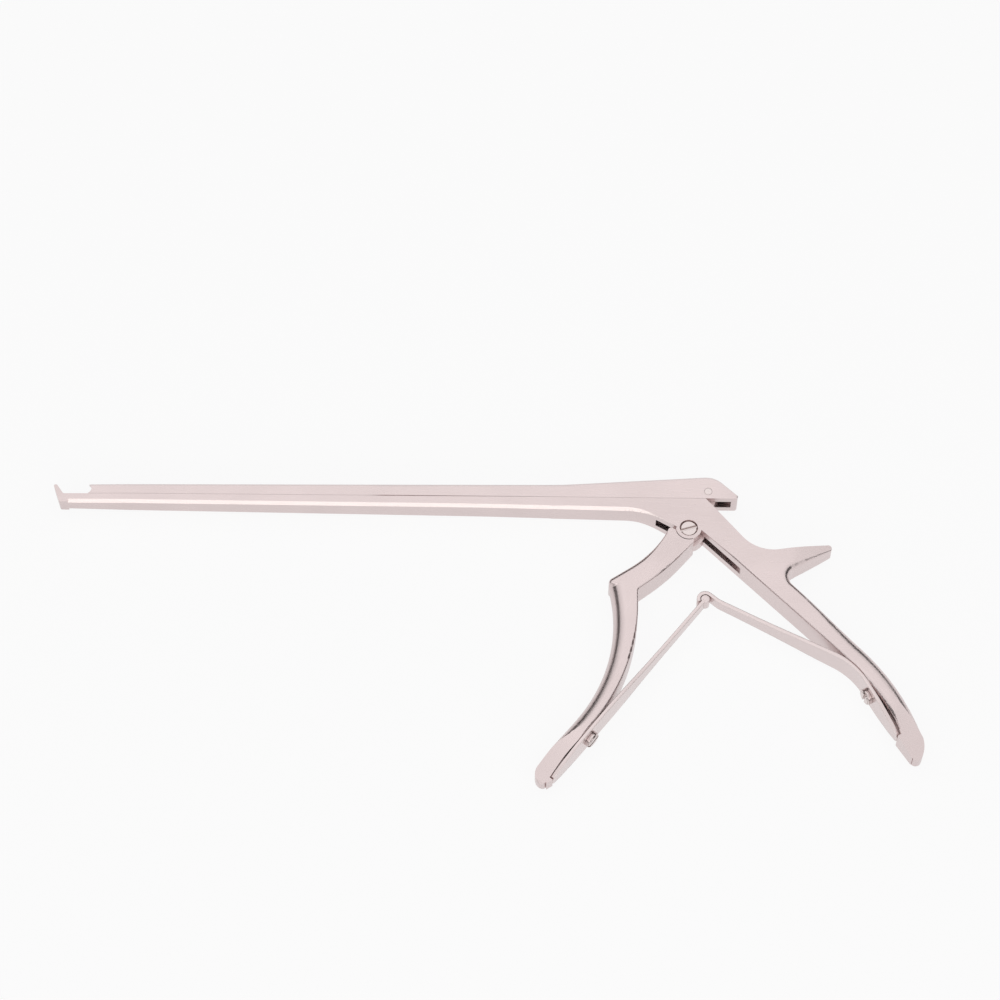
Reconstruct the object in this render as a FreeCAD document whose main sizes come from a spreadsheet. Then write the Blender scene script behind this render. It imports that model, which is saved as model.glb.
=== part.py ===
import FreeCAD, Part
import math
import os
import types

import Sketcher

# Bone rongeur of the upbiting laminectomy pattern: a fixed frame with a footplate at its
# tip, a slide that runs along the frame's shaft, and a hinged front handle whose tang
# drives the slide. Two leaf springs open the handles again.
#
# The tool lies on its side. X runs along the shaft, with the jaw at -X, Y points to the
# slide's side and Z goes through the thickness. The origin is on the pivot's axis, in
# the plane of the side that the tool rests on.

os.makedirs("parts", exist_ok=True)
doc = FreeCAD.newDocument("BoneRongeur")

# Driving sizes in millimetres and degrees. Places are measured from the pivot.
SIZES = {
    # frame blank
    "thickness": 10.0,
    "seam_height": 10.4,
    "edge_round": 0.6,
    "knuckle_radius": 3.9,
    # shaft and footplate
    "foot_reach": 191.7,
    "foot_height": 3.1,
    "foot_lean": 20.0,
    "foot_root": 2.1,
    "foot_tip": 1.1,
    "tip_depth": 2.8,
    "shaft_depth": 3.5,
    "shaft_break": 62.0,
    "shaft_root": 13.6,
    "shaft_root_depth": 4.3,
    "tip_width": 5.2,
    "neck_width": 6.4,
    "neck_reach": 172.0,
    "root_width": 7.9,
    "flare_start": 40.0,
    "flare_end": 14.0,
    "shaft_bevel": 0.9,
    # body, spur and rear grip
    "body_back": 5.4,
    "saddle_x": 20.7,
    "saddle_y": 8.1,
    "saddle_radius": 12.0,
    "spur_x": 43.6,
    "spur_y": 4.4,
    "spur_tip": 1.9,
    "notch_x": 27.8,
    "notch_y": 15.4,
    "notch_radius": 3.6,
    "rear_bend_x": 62.1,
    "rear_bend_y": 50.5,
    "rear_bend_radius": 70.0,
    "rear_end_x": 69.2,
    "rear_end_y": 71.0,
    "rear_tip_x": 66.2,
    "rear_tip_y": 77.2,
    "rear_inner_x": 56.3,
    "rear_inner_y": 52.9,
    "rear_inner_radius": 98.0,
    "rear_root_x": 3.2,
    "rear_root_y": 0.1,
    "underside_radius": 22.0,
    # front handle
    "shoulder_x": 5.7,
    "shoulder_y": 0.3,
    "front_root_x": 2.0,
    "front_root_y": 4.2,
    "arm_outer_x": 11.25,
    "arm_outer_y": 9.15,
    "arm_outer_radius": 36.0,
    "arm_inner_x": 6.6,
    "arm_inner_y": 14.3,
    "arm_inner_radius": 60.0,
    "elbow_x": 24.6,
    "elbow_y": 18.0,
    "crook_x": 15.6,
    "crook_y": 21.2,
    "front_bend_x": 19.3,
    "front_bend_y": 43.3,
    "front_bend_radius": 52.0,
    "front_inner_y": 47.5,
    "front_inner_radius": 64.0,
    "front_end_x": 47.2,
    "front_end_y": 80.8,
    "front_tip_x": 44.2,
    "front_tip_y": 85.0,
    # rounding of the grips' outer sides, which grows along each grip
    "grip_round_top": 1.5,
    "grip_round": 4.2,
    "grip_round_end": 2.2,
    "tip_round": 1.1,
    # tang, its slot and the drive
    "tang_thickness": 3.4,
    "slot_width": 3.6,
    "hub_radius": 5.2,
    "drive_x": 6.15,
    "drive_height": 12.85,
    "drive_pin_radius": 1.2,
    "fork_play": 0.25,
    "fork_wall": 1.7,
    "fork_reach": 15.6,
    "slot_left_top": 5.6,
    "slot_left": 9.9,
    "slot_wall": 3.2,
    "slot_end_x": 15.4,
    "slot_end_y": 11.6,
    # slide
    "jaw_open": 7.7,
    "slide_play": 0.05,
    "slide_front_height": 3.4,
    "slide_break": 38.5,
    "slide_break_height": 4.5,
    "slide_crest_x": 8.3,
    "slide_crest_height": 7.85,
    "slide_back": 16.4,
    "slide_bevel": 0.8,
    "tongue_front": 168.0,
    "tongue_rear": 64.0,
    "tongue_length": 16.0,
    "tongue_neck": 1.6,
    "tongue_head": 2.8,
    "tongue_neck_height": 0.8,
    "tongue_head_height": 0.8,
    "tongue_play": 0.08,
    "stroke": 7.5,
    # screws
    "pivot_radius": 2.0,
    "pivot_play": 0.03,
    "pivot_head_radius": 2.75,
    "pivot_head_height": 1.4,
    "pivot_sink": 0.95,
    "driver_slot": 0.8,
    "driver_depth": 0.6,
    "spring_screw_radius": 1.4,
    "spring_screw_head": 2.5,
    "spring_screw_height": 1.6,
    "spring_screw_length": 4.0,
    # leaf springs
    "leaf_thickness": 1.1,
    "leaf_root_width": 9.0,
    "leaf_end_width": 4.2,
    "front_leaf_tail": 18.0,
    "rear_leaf_tail": 16.2,
    "leaf_gap": 0.02,
    "hinge_x": 4.8,
    "hinge_y": 22.9,
    "ball_radius": 1.35,
    "hook_play": 0.15,
    "front_screw_reach": 21.9,
    "rear_screw_x": 53.4,
    "rear_leaf_radius": 21.0,
    "slot_wall_top": 6.0,
    "cup_radius": 2.0,
    "cup_depth": 0.9,
    "knuckle_gap": 0.2,
    "slide_slot_front": 0.9,
    "slide_slot_height": 5.75,
    "slide_slot_back": 13.2,
    "slide_slot_wall": 1.2,
    "slide_end_round": 2.0,
    "crest_radius": 7.0,
    "cheek_start": 12.0,
    "tongue_run": 19.0,
    "tongue_tip_half": 1.8,
    "tongue_round": 60.0,
    "tongue_end_round": 1.7,
    "leaf_inset": 0.5,
    "tail_gap": 0.15,
    "front_dip": 0.45,
    "rear_dip": 0.9,
    "seat_half": 3.2,
    "seat_above": 6.0,
    "screw_chamfer": 0.4,
    "pin_play": 0.02,
    "jaw_hollow_radius": 1.7,
    "jaw_hollow_depth": 0.9,
    "leaf_middle_width": 5.2,
    "rear_tail_angle": 61.5,
    "rear_leaf_angle": 28.0,
    "hook_angle": 50.0,
    "hook_wrap": 145.0,
    "hook_lead": 3.6,
}


class Size:
    """A number that keeps the sheet expression it was worked out from."""

    def __init__(self, number, text):
        self.number = number
        self.text = text

    def __add__(self, other):
        return Size(self.number + number(other), "(%s + %s)" % (self.text, text(other)))

    def __sub__(self, other):
        return Size(self.number - number(other), "(%s - %s)" % (self.text, text(other)))

    def __mul__(self, other):
        return Size(self.number * number(other), "(%s * %s)" % (self.text, text(other)))

    def __rsub__(self, other):
        return Size(float(other) - self.number, "(%s - %s)" % (text(other), self.text))

    __radd__ = __add__
    __rmul__ = __mul__

    def __truediv__(self, other):
        return Size(self.number / number(other), "(%s / %s)" % (self.text, text(other)))

    def __neg__(self):
        return Size(-self.number, "(-1 * %s)" % self.text)


def number(size):
    return size.number if isinstance(size, Size) else float(size)


def text(size):
    return size.text if isinstance(size, Size) else repr(float(size))


def tangent(angle):
    """Tangent of an angle given in degrees."""
    return Size(math.tan(math.radians(number(angle))), "tan(%s * 1 deg)" % text(angle))


def square_root(size):
    return Size(math.sqrt(number(size)), "sqrt(%s)" % text(size))


sheet = doc.addObject("Spreadsheet::Sheet", "Sizes")
for row, (alias, start_value) in enumerate(SIZES.items(), 1):
    sheet.set("A%d" % row, alias)
    sheet.set("B%d" % row, str(start_value))
    sheet.setAlias("B%d" % row, alias)
doc.recompute()
s = types.SimpleNamespace(**{alias: Size(float(sheet.get(alias)), "Sizes." + alias) for alias in SIZES})


def bind(feature, name, size):
    """Give a property its size, tied to the sheet."""
    setattr(feature, name, number(size))
    feature.setExpression(name, text(size))


def new_body(name):
    body = doc.addObject("PartDesign::Body", name)
    body.Label = name
    return body


def new_sketch(body, role, name, lift=0.0):
    """An empty sketch parallel to one of the body's origin planes."""
    sketch = body.newObject("Sketcher::SketchObject", name)
    plane = next(f for f in body.Origin.OriginFeatures if f.Role == role)
    sketch.AttachmentSupport = [(plane, "")]
    sketch.MapMode = "FlatFace"
    sketch.AttachmentOffset = FreeCAD.Placement(FreeCAD.Vector(0, 0, number(lift)), FreeCAD.Rotation())
    sketch.setExpression("AttachmentOffset.Base.z", text(lift))
    return sketch


def constrain(sketch, kind, *parts, size=None):
    """Add a constraint, tied to the sheet where it carries a size."""
    if size is None:
        sketch.addConstraint(Sketcher.Constraint(kind, *parts))
        return
    index = sketch.addConstraint(Sketcher.Constraint(kind, *parts, number(size)))
    sketch.setExpression("Constraints[%d]" % index, text(size))


def add_outline(sketch, corners):
    """A closed outline of straight sides. Each corner is (x, y) or (x, y, radius)."""
    count = len(corners)
    points = [FreeCAD.Vector(number(c[0]), number(c[1]), 0) for c in corners]
    radii = [c[2] if len(c) > 2 else None for c in corners]
    ways = [(points[(i + 1) % count] - points[i]).normalize() for i in range(count)]
    turns = []
    reach = []
    for i in range(count):
        before, after = ways[i - 1], ways[i]
        turn = math.atan2(before.cross(after).z, before.dot(after))
        turns.append(turn)
        reach.append(0.0 if radii[i] is None else number(radii[i]) * abs(math.tan(turn / 2)))
    first = sketch.GeometryCount
    for i in range(count):
        start = points[i] + ways[i] * reach[i]
        end = points[(i + 1) % count] - ways[i] * reach[(i + 1) % count]
        sketch.addGeometry(Part.LineSegment(start, end), False)
    for i in range(count):
        side_before = first + (i - 1) % count
        side_after = first + i
        if radii[i] is None:
            constrain(sketch, "Coincident", side_before, 2, side_after, 1)
            constrain(sketch, "DistanceX", -1, 1, side_after, 1, size=corners[i][0])
            constrain(sketch, "DistanceY", -1, 1, side_after, 1, size=corners[i][1])
            continue
        add_corner(sketch, corners[i], points[i], ways[i - 1], ways[i], turns[i], reach[i], side_before, side_after)


def add_corner(sketch, corner, point, before, after, turn, reach, side_before, side_after):
    """Round one corner by an arc that is tangent to both of its sides."""
    left = FreeCAD.Vector(-before.y, before.x, 0)
    radius = number(corner[2])
    centre = point - before * reach + left * (radius if turn > 0 else -radius)
    arc_from = point - before * reach - centre
    arc_to = point + after * reach - centre
    ends = [math.atan2(v.y, v.x) for v in (arc_from, arc_to)]
    if turn < 0:
        ends.reverse()
    if ends[1] < ends[0]:
        ends[1] += 2 * math.pi
    circle = Part.Circle(centre, FreeCAD.Vector(0, 0, 1), radius)
    arc = sketch.addGeometry(Part.ArcOfCircle(circle, ends[0], ends[1]), False)
    mark = sketch.addGeometry(Part.Point(point), True)
    arc_start, arc_end = (1, 2) if turn > 0 else (2, 1)
    constrain(sketch, "Tangent", side_before, 2, arc, arc_start)
    constrain(sketch, "Tangent", arc, arc_end, side_after, 1)
    constrain(sketch, "Radius", arc, size=corner[2])
    constrain(sketch, "PointOnObject", mark, 1, side_before)
    constrain(sketch, "PointOnObject", mark, 1, side_after)
    constrain(sketch, "DistanceX", -1, 1, mark, 1, size=corner[0])
    constrain(sketch, "DistanceY", -1, 1, mark, 1, size=corner[1])


def add_circle(sketch, x, y, radius):
    centre = FreeCAD.Vector(number(x), number(y), 0)
    index = sketch.addGeometry(Part.Circle(centre, FreeCAD.Vector(0, 0, 1), number(radius)), False)
    constrain(sketch, "Radius", index, size=radius)
    constrain(sketch, "DistanceX", -1, 1, index, 3, size=x)
    constrain(sketch, "DistanceY", -1, 1, index, 3, size=y)


def pad(body, sketch, length):
    feature = body.newObject("PartDesign::Pad", sketch.Name + "_pad")
    feature.Profile = sketch
    bind(feature, "Length", length)
    return feature


def pocket(body, sketch, length, backwards=False):
    """Cut a sketch into the body, and make sure that it takes something away."""
    doc.recompute()
    volume = body.Shape.Volume
    feature = body.newObject("PartDesign::Pocket", sketch.Name + "_cut")
    feature.Profile = sketch
    bind(feature, "Length", length)
    feature.Reversed = backwards
    doc.recompute()
    if body.Shape.Volume > volume - 1e-3:
        raise ValueError(sketch.Name + " cuts nothing")
    return feature


def round_sides(base, name, marks, below=math.inf, beyond=-math.inf):
    """Round the edges of both side faces. The radius runs from mark to mark.

    Edges that lie at the height below, or whose middle is not beyond a place, stay sharp.
    """
    doc.recompute()
    top = number(s.thickness)
    edges = []
    for index, edge in enumerate(base.Shape.Edges, 1):
        box = edge.BoundBox
        if box.ZMax > 1e-6 and box.ZMin < top - 1e-6:
            continue
        halfway = edge.valueAt((edge.FirstParameter + edge.LastParameter) / 2)
        if halfway.y > number(below) - 1e-6 or halfway.x < number(beyond):
            continue
        radii = []
        for parameter in (edge.FirstParameter, edge.LastParameter):
            point = edge.valueAt(parameter)
            nearest = min(marks, key=lambda m: math.hypot(point.x - number(m[0]), point.y - number(m[1])))
            radii.append(number(nearest[2]))
        edges.append((index, radii[0], radii[1]))
    feature = doc.addObject("Part::Fillet", name)
    feature.Base = base
    feature.Edges = edges
    doc.recompute()
    return feature


def along_axis(body, kind, name, place, way, **sizes):
    """An additive or subtractive primitive that stands at a place and points one way."""
    feature = body.newObject("PartDesign::" + kind, name)
    plane = next(f for f in body.Origin.OriginFeatures if f.Role == "XY_Plane")
    feature.AttachmentSupport = [(plane, "")]
    feature.MapMode = "FlatFace"
    turn = FreeCAD.Rotation(FreeCAD.Vector(0, 0, 1), way)
    feature.AttachmentOffset = FreeCAD.Placement(place, turn)
    for key, size in sizes.items():
        bind(feature, key, size)
    return feature


def side_reliefs(body, name, corners, depth):
    """Cut both sides of the shaft to the same plan, mirrored about the middle plane."""
    for side, flip in (("near", False), ("far", True)):
        sketch = new_sketch(body, "XZ_Plane", "%s_%s" % (name, side))
        add_outline(sketch, [(c[0], s.thickness - c[1] if flip else c[1], *c[2:]) for c in corners])
        pocket(body, sketch, depth)


def taper_cheeks(body, name, start, end):
    """Thin both cheeks evenly from the grips up to the width of the slide."""
    for side, flip in (("near", False), ("far", True)):
        sketch = new_sketch(body, "YZ_Plane", "%s_cheek_%s" % (name, side), start)
        corners = [
            (-s.cheek_start, s.thickness),
            (s.seam_height, middle + s.root_width / 2),
            (s.seam_height + 1, middle + s.root_width / 2),
            (s.seam_height + 1, s.thickness + 1),
            (-s.cheek_start, s.thickness + 1),
        ]
        add_outline(sketch, [(c[0], s.thickness - c[1]) if flip else c for c in corners])
        pocket(body, sketch, end - start, backwards=True)


def cut_tongue(body, name, corner, way, run, inset):
    """Trim the end of a grip or leaf to a tongue, as seen square to its inner side."""
    sketch = body.newObject("Sketcher::SketchObject", name)
    plane = next(f for f in body.Origin.OriginFeatures if f.Role == "XY_Plane")
    sketch.AttachmentSupport = [(plane, "")]
    sketch.MapMode = "FlatFace"
    across = way.cross(up)
    clear = 15
    turn = FreeCAD.Rotation(way, up, across, "XYZ")
    sketch.AttachmentOffset = FreeCAD.Placement(corner + across * clear, turn)
    far = run + 10
    add_outline(
        sketch,
        [
            (far, s.thickness + 1),
            (-3.0, s.thickness + 1),
            (-3.0, -1.0),
            (far, -1.0),
            (far, inset),
            (run, inset, s.tongue_round),
            (0.0, middle - s.tongue_tip_half, s.tongue_end_round),
            (0.0, middle + s.tongue_tip_half, s.tongue_end_round),
            (run, s.thickness - inset, s.tongue_round),
            (far, s.thickness - inset),
        ],
    )
    pocket(body, sketch, 2 * clear)


def raise_tip(body, name, corner, top, foot, inward):
    """Thicken the end of a grip's inner side up to the ledge where its leaf ends."""
    sketch = new_sketch(body, "XY_Plane", name)
    away = inward * -2
    rest = (corner - top) * 0.12
    points = [corner + rest * 0 + away * 0.5, corner, top, foot, foot + away]
    add_outline(sketch, [(p.x, p.y) for p in points])
    pad(body, sketch, s.thickness)


def between(x, x0, value0, x1, value1):
    """Straight change of a value from one place to another."""
    share = (x - x0) / (x1 - x0)
    return share * (value1 - value0) + value0


def bevel_edges(body, name, stations, up_or_down):
    """Cut a 45 degree bevel along both edges of a bar that runs along X.

    Each station is the place along the bar, the height of its face, its half width and
    the size of the bevel there.
    """
    for side, out in (("near", 1), ("far", -1)):
        sections = []
        for count, (x, height, half_width, size) in enumerate(stations):
            section = new_sketch(body, "YZ_Plane", "%s_bevel_%s_%d" % (name, side, count), x)
            edge = middle + half_width * out
            spare = 0.3
            low = height - (size + spare) * up_or_down
            high = height + spare * up_or_down
            add_outline(
                section,
                [(low, edge + spare * out), (high, edge + spare * out), (high, edge - (size + spare) * out)],
            )
            sections.append(section)
        doc.recompute()
        volume = body.Shape.Volume
        loft = body.newObject("PartDesign::SubtractiveLoft", "%s_bevel_%s" % (name, side))
        loft.Profile = sections[0]
        loft.Sections = sections[1:]
        loft.Ruled = True
        doc.recompute()
        if body.Shape.Volume > volume - 1e-3:
            raise ValueError(name + " bevel cuts nothing")


def tee_profile(sketch, top, neck, neck_bottom, head, head_bottom):
    """A T in the plane across the shaft: a neck that hangs from the top, and a wider head."""
    add_outline(
        sketch,
        [
            (top, middle - neck),
            (top, middle + neck),
            (neck_bottom, middle + neck),
            (neck_bottom, middle + head),
            (head_bottom, middle + head),
            (head_bottom, middle - head),
            (neck_bottom, middle - head),
            (neck_bottom, middle - neck),
        ],
    )


def arc_centre(before, corner, after, radius):
    """Centre of the arc that rounds a corner between two straight sides."""
    way_in = (corner - before).normalize()
    way_out = (after - corner).normalize()
    turn = math.atan2(way_in.cross(way_out).z, way_in.dot(way_out))
    start = corner - way_in * (radius * abs(math.tan(turn / 2)))
    left = FreeCAD.Vector(-way_in.y, way_in.x, 0)
    return start, start + left * math.copysign(radius, turn)


def ribbon(path, thickness):
    """The closed outline of a strip whose middle line runs along a path of corners."""
    points = [FreeCAD.Vector(p[0], p[1], 0) for p in path]
    ways = [(b - a).normalize() for a, b in zip(points, points[1:])]
    sides = ([], [])
    for i, point in enumerate(points):
        before = ways[max(i - 1, 0)]
        after = ways[min(i, len(ways) - 1)]
        for side, sign in zip(sides, (1, -1)):
            left_before = FreeCAD.Vector(-before.y, before.x, 0)
            left_after = FreeCAD.Vector(-after.y, after.x, 0)
            mitre = (left_before + left_after) / (1 + left_before.dot(left_after))
            place = point + mitre * (sign * thickness / 2)
            corner = [place.x, place.y]
            if len(path[i]) > 2:
                inside = before.cross(after).z * sign > 0
                corner.append(path[i][2] - thickness / 2 if inside else path[i][2] + thickness / 2)
            side.append(tuple(corner))
    return sides[0] + sides[1][::-1]


def slotted_screw(name, radius, length, head_radius, head_height, place, way, turn=0.0):
    """A slotted screw. Its head sits on the given place and points the given way."""
    body = new_body(name)
    profile = new_sketch(body, "XZ_Plane", name + "_profile")
    add_outline(
        profile,
        [
            (0.0, -length),
            (radius - 0.3, -length),
            (radius, -length + 0.3),
            (radius, 0.0),
            (head_radius, 0.0),
            (head_radius, head_height - s.screw_chamfer),
            (head_radius - s.screw_chamfer, head_height),
            (0.0, head_height),
        ],
    )
    solid = body.newObject("PartDesign::Revolution", name + "_turned")
    solid.Profile = profile
    solid.ReferenceAxis = (profile, ["V_Axis"])
    solid.Angle = 360
    slot = new_sketch(body, "XY_Plane", name + "_slot", head_height - s.driver_depth)
    half = s.driver_slot / 2
    long = head_radius + 1
    add_outline(slot, [(-long, -half), (long, -half), (long, half), (-long, half)])
    pocket(body, slot, s.driver_depth + 1, backwards=True)
    tilt = FreeCAD.Rotation(FreeCAD.Vector(0, 0, 1), turn)
    body.Placement = FreeCAD.Placement(place, FreeCAD.Rotation(FreeCAD.Vector(0, 0, 1), way).multiply(tilt))
    return body


middle = s.thickness / 2
up = FreeCAD.Vector(0, 0, 1)

def vector(x, y):
    return FreeCAD.Vector(number(x), number(y), 0)


def heading(degrees):
    angle = math.radians(number(degrees))
    return FreeCAD.Vector(math.cos(angle), math.sin(angle), 0)


def crossing(a, way_a, b, way_b):
    """Where two lines meet, each given by a point and a direction."""
    along = (b - a).cross(way_b).z / way_a.cross(way_b).z
    return a + way_a * along


hinge = vector(s.hinge_x, -s.hinge_y)
half_leaf = number(s.leaf_thickness) / 2
leaf_lift = half_leaf + number(s.leaf_gap)
mid_plane = FreeCAD.Vector(0, 0, number(middle))

# Seat of the front leaf: the straight inner face of the front grip.
front_tip_corner = vector(-s.front_tip_x, -s.front_tip_y)
front_way = (vector(-s.crook_x, -s.front_inner_y) - front_tip_corner).normalize()
front_inward = FreeCAD.Vector(front_way.y, -front_way.x, 0)
front_seat = front_tip_corner + front_inward * leaf_lift + front_way * number(s.front_screw_reach)
front_tail = front_seat - front_way * number(s.front_leaf_tail)

# Seat of the rear leaf: a chord of the hollow inner side of the rear grip.
grip_start, grip_centre = arc_centre(
    vector(s.rear_root_x, -s.rear_root_y),
    vector(s.rear_inner_x, -s.rear_inner_y),
    vector(s.rear_tip_x, -s.rear_tip_y),
    number(s.rear_inner_radius),
)
seat_radius = number(s.rear_inner_radius) - leaf_lift
seat_across = number(s.rear_screw_x) - grip_centre.x
rear_seat = grip_centre + FreeCAD.Vector(seat_across, math.sqrt(seat_radius ** 2 - seat_across ** 2), 0)
rear_way = heading(180 - number(s.rear_tail_angle))
rear_inward = FreeCAD.Vector(-rear_way.y, rear_way.x, 0)
rear_tail = rear_seat - rear_way * number(s.rear_leaf_tail)


def ledge(tail, way, inward):
    """Where a grip's end steps up to the inner side of its leaf, and the way back to the old face."""
    top = tail - way * number(s.tail_gap) + inward * half_leaf
    return top, top + way * 1.5 - inward * (2 * half_leaf)


# Frame: one forging with the lower shaft, the footplate, the body, the spur and the rear grip.
frame_blank = new_body("frame_blank")
blank = new_sketch(frame_blank, "XY_Plane", "frame_side")
foot_out = -s.foot_reach - s.foot_root
foot_top = s.seam_height + s.foot_height
lean = tangent(s.foot_lean)
rear_ledge, rear_foot = ledge(rear_tail, rear_way, rear_inward)
add_outline(
    blank,
    [
        (-s.foot_reach, s.seam_height, 0.4),
        (s.body_back, s.seam_height),
        (s.saddle_x, -s.saddle_y, s.saddle_radius),
        (s.spur_x, -s.spur_y, 0.9),
        (s.spur_x - 0.2, -s.spur_y - s.spur_tip, 0.8),
        (s.notch_x, -s.notch_y, s.notch_radius),
        (s.rear_bend_x, -s.rear_bend_y, s.rear_bend_radius),
        (s.rear_end_x, -s.rear_end_y, 4),
        (s.rear_tip_x, -s.rear_tip_y, 1.3),
        (s.rear_inner_x, -s.rear_inner_y, s.rear_inner_radius),
        (s.rear_root_x, -s.rear_root_y),
        (s.knuckle_radius * -0.85, s.seam_height * 0.02),
        (-s.shaft_root, s.seam_height - s.shaft_root_depth, s.underside_radius),
        (-s.shaft_break, s.seam_height - s.shaft_depth, 150),
        (foot_out + lean * s.tip_depth, s.seam_height - s.tip_depth, 0.6),
        (foot_out - lean * s.foot_height, foot_top, 0.45),
        (foot_out - lean * s.foot_height + s.foot_tip, foot_top, 0.5),
    ],
)
pad(frame_blank, blank, s.thickness)
knuckle = new_sketch(frame_blank, "XY_Plane", "knuckle")
add_circle(knuckle, 0, 0, s.knuckle_radius)
pad(frame_blank, knuckle, s.thickness)

shaft_plan = [
    (-s.foot_reach - 5, s.thickness + 1),
    (-s.foot_reach - 5, middle + s.tip_width / 2),
    (-s.neck_reach, middle + s.neck_width / 2, 80),
    (-s.flare_start, middle + s.root_width / 2, 60),
    (-s.flare_end, s.thickness + 0.05),
    (-s.flare_end, s.thickness + 1),
]
side_reliefs(frame_blank, "frame_plan", shaft_plan, foot_top + 1)


def cheek_half_width(y):
    """Half the thickness that the tapered cheeks leave at a height."""
    full = number(s.thickness) / 2
    share = (number(y) + number(s.cheek_start)) / number(s.cheek_start + s.seam_height)
    return full - max(share, 0.0) * (full - number(s.root_width) / 2)


def shaft_half_width(x, y):
    """Half the shaft's width at a place along it, where its cheeks are no closer."""
    if number(x) < number(-s.neck_reach):
        return between(x, -s.foot_reach - 5, s.tip_width / 2, -s.neck_reach, s.neck_width / 2)
    if number(x) < number(-s.flare_start):
        return between(x, -s.neck_reach, s.neck_width / 2, -s.flare_start, s.root_width / 2)
    flared = between(x, -s.flare_start, s.root_width / 2, -s.flare_end, s.thickness / 2 + 0.05)
    return min(number(flared), cheek_half_width(y))


def under_height(x):
    """Height of the straight stretches of the shaft's underside."""
    tip = foot_out + lean * s.tip_depth
    if number(x) < number(-s.shaft_break):
        return between(x, tip, s.seam_height - s.tip_depth, -s.shaft_break, s.seam_height - s.shaft_depth)
    return between(
        x, -s.shaft_break, s.seam_height - s.shaft_depth, -s.shaft_root, s.seam_height - s.shaft_root_depth
    )


def arc_points(before, corner, after, radius, count):
    """Points along the arc that rounds a corner, from its start to its end."""
    start, centre = arc_centre(before, corner, after, radius)
    way_in = (corner - before).normalize()
    way_out = (after - corner).normalize()
    turn = math.atan2(way_in.cross(way_out).z, way_in.dot(way_out))
    spoke = start - centre
    points = []
    for step in range(count):
        spin = FreeCAD.Rotation(up, math.degrees(turn) * step / (count - 1))
        points.append(centre + spin.multVec(spoke))
    return points


under_stops = []
for x in (-s.foot_reach + 1.5, -s.neck_reach, -s.shaft_break, -s.flare_start - 2):
    height = under_height(x)
    under_stops.append((x, height, shaft_half_width(x, height), s.shaft_bevel))
bevel_edges(frame_blank, "under", under_stops, -1)

frame_marks = [
    (s.body_back, s.seam_height, s.edge_round),
    (s.saddle_x, -s.saddle_y, s.edge_round),
    (s.spur_x - 8, -s.spur_y, s.edge_round),
    (s.spur_x, -s.spur_y, s.tip_round * 0.7),
    (s.spur_x - 3, -s.spur_y - 3, s.tip_round * 0.7),
    (s.notch_x + 4, -s.notch_y + 1, s.grip_round_top * 1.4),
    (s.notch_x + 4, -s.notch_y - 4, s.grip_round_top),
    (s.rear_bend_x - 12, -s.rear_bend_y + 12, s.grip_round * 0.8),
    (s.rear_bend_x + 5, -s.rear_bend_y - 15, s.grip_round * 0.8),
    (s.rear_end_x, -s.rear_end_y, s.grip_round_end),
    (s.rear_tip_x + 2, -s.rear_tip_y + 3, s.tip_round),
    (s.rear_tip_x, -s.rear_tip_y, s.edge_round),
    (s.rear_inner_x, -s.rear_inner_y - 8, s.edge_round),
    (s.rear_inner_x - 14, -s.rear_inner_y + 14, s.edge_round),
    (0, 0, s.edge_round),
    (-s.shaft_root, s.seam_height - s.shaft_root_depth, s.edge_round),
]
frame_rounded = round_sides(frame_blank, "frame_rounded", frame_marks, below=s.seam_height, beyond=-s.flare_end)

frame = new_body("frame")
frame.BaseFeature = frame_rounded
taper_cheeks(frame, "frame", -s.shaft_break, s.rear_end_x + 5)
rear_corner_point = vector(s.rear_tip_x, -s.rear_tip_y)
raise_tip(frame, "rear_tip", rear_corner_point, rear_ledge, rear_foot, rear_inward)
rear_face_way = (rear_ledge - rear_corner_point).normalize()
cut_tongue(frame, "rear_tongue", rear_corner_point, rear_face_way, s.tongue_run, 0.0)

back_slope = (s.saddle_x - s.body_back) / (s.seam_height + s.saddle_y)
back_angle = math.atan(number(back_slope))
slot_wall_across = s.slot_wall * (1 / math.cos(back_angle))
slot_step = s.seam_height - s.slot_wall_top
tang_slot = new_sketch(frame, "XY_Plane", "tang_slot", middle - s.slot_width / 2)
add_outline(
    tang_slot,
    [
        (-s.slot_left_top, s.seam_height + 1),
        (s.body_back + 9, s.seam_height + 1),
        (s.body_back + 9, slot_step),
        (s.body_back + back_slope * s.slot_wall_top - slot_wall_across, slot_step, 0.6),
        (s.slot_end_x - 2.4, -s.slot_end_y + 7.9, 3),
        (s.slot_end_x + 0.9, -s.slot_end_y - 3),
        (-s.slot_left, -s.slot_end_y - 3),
        (-s.slot_left, s.seam_height - 6.2, 2),
    ],
)
pocket(frame, tang_slot, s.slot_width, backwards=True)

slide_base = s.seam_height + s.slide_play
head_top = slide_base - s.tongue_neck_height
head_bottom = head_top - s.tongue_head_height
for label, reach in (("front", s.tongue_front), ("rear", s.tongue_rear)):
    groove = new_sketch(frame, "YZ_Plane", "groove_" + label, -reach - s.stroke - 0.3)
    tee_profile(
        groove,
        s.seam_height + 1,
        s.tongue_neck / 2 + s.tongue_play,
        head_top + s.tongue_play,
        s.tongue_head / 2 + s.tongue_play,
        head_bottom - s.tongue_play,
    )
    pocket(frame, groove, s.tongue_length + s.stroke + 0.6, backwards=True)
    window = new_sketch(frame, "XZ_Plane", "window_" + label, s.tongue_play - head_bottom)
    window_start = s.tongue_length - reach + 0.3
    half_head = s.tongue_head / 2 + s.tongue_play
    add_outline(
        window,
        [
            (window_start, middle - half_head),
            (window_start + s.tongue_length + 0.6, middle - half_head),
            (window_start + s.tongue_length + 0.6, middle + half_head),
            (window_start, middle + half_head),
        ],
    )
    pocket(frame, window, s.foot_height)

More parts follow.
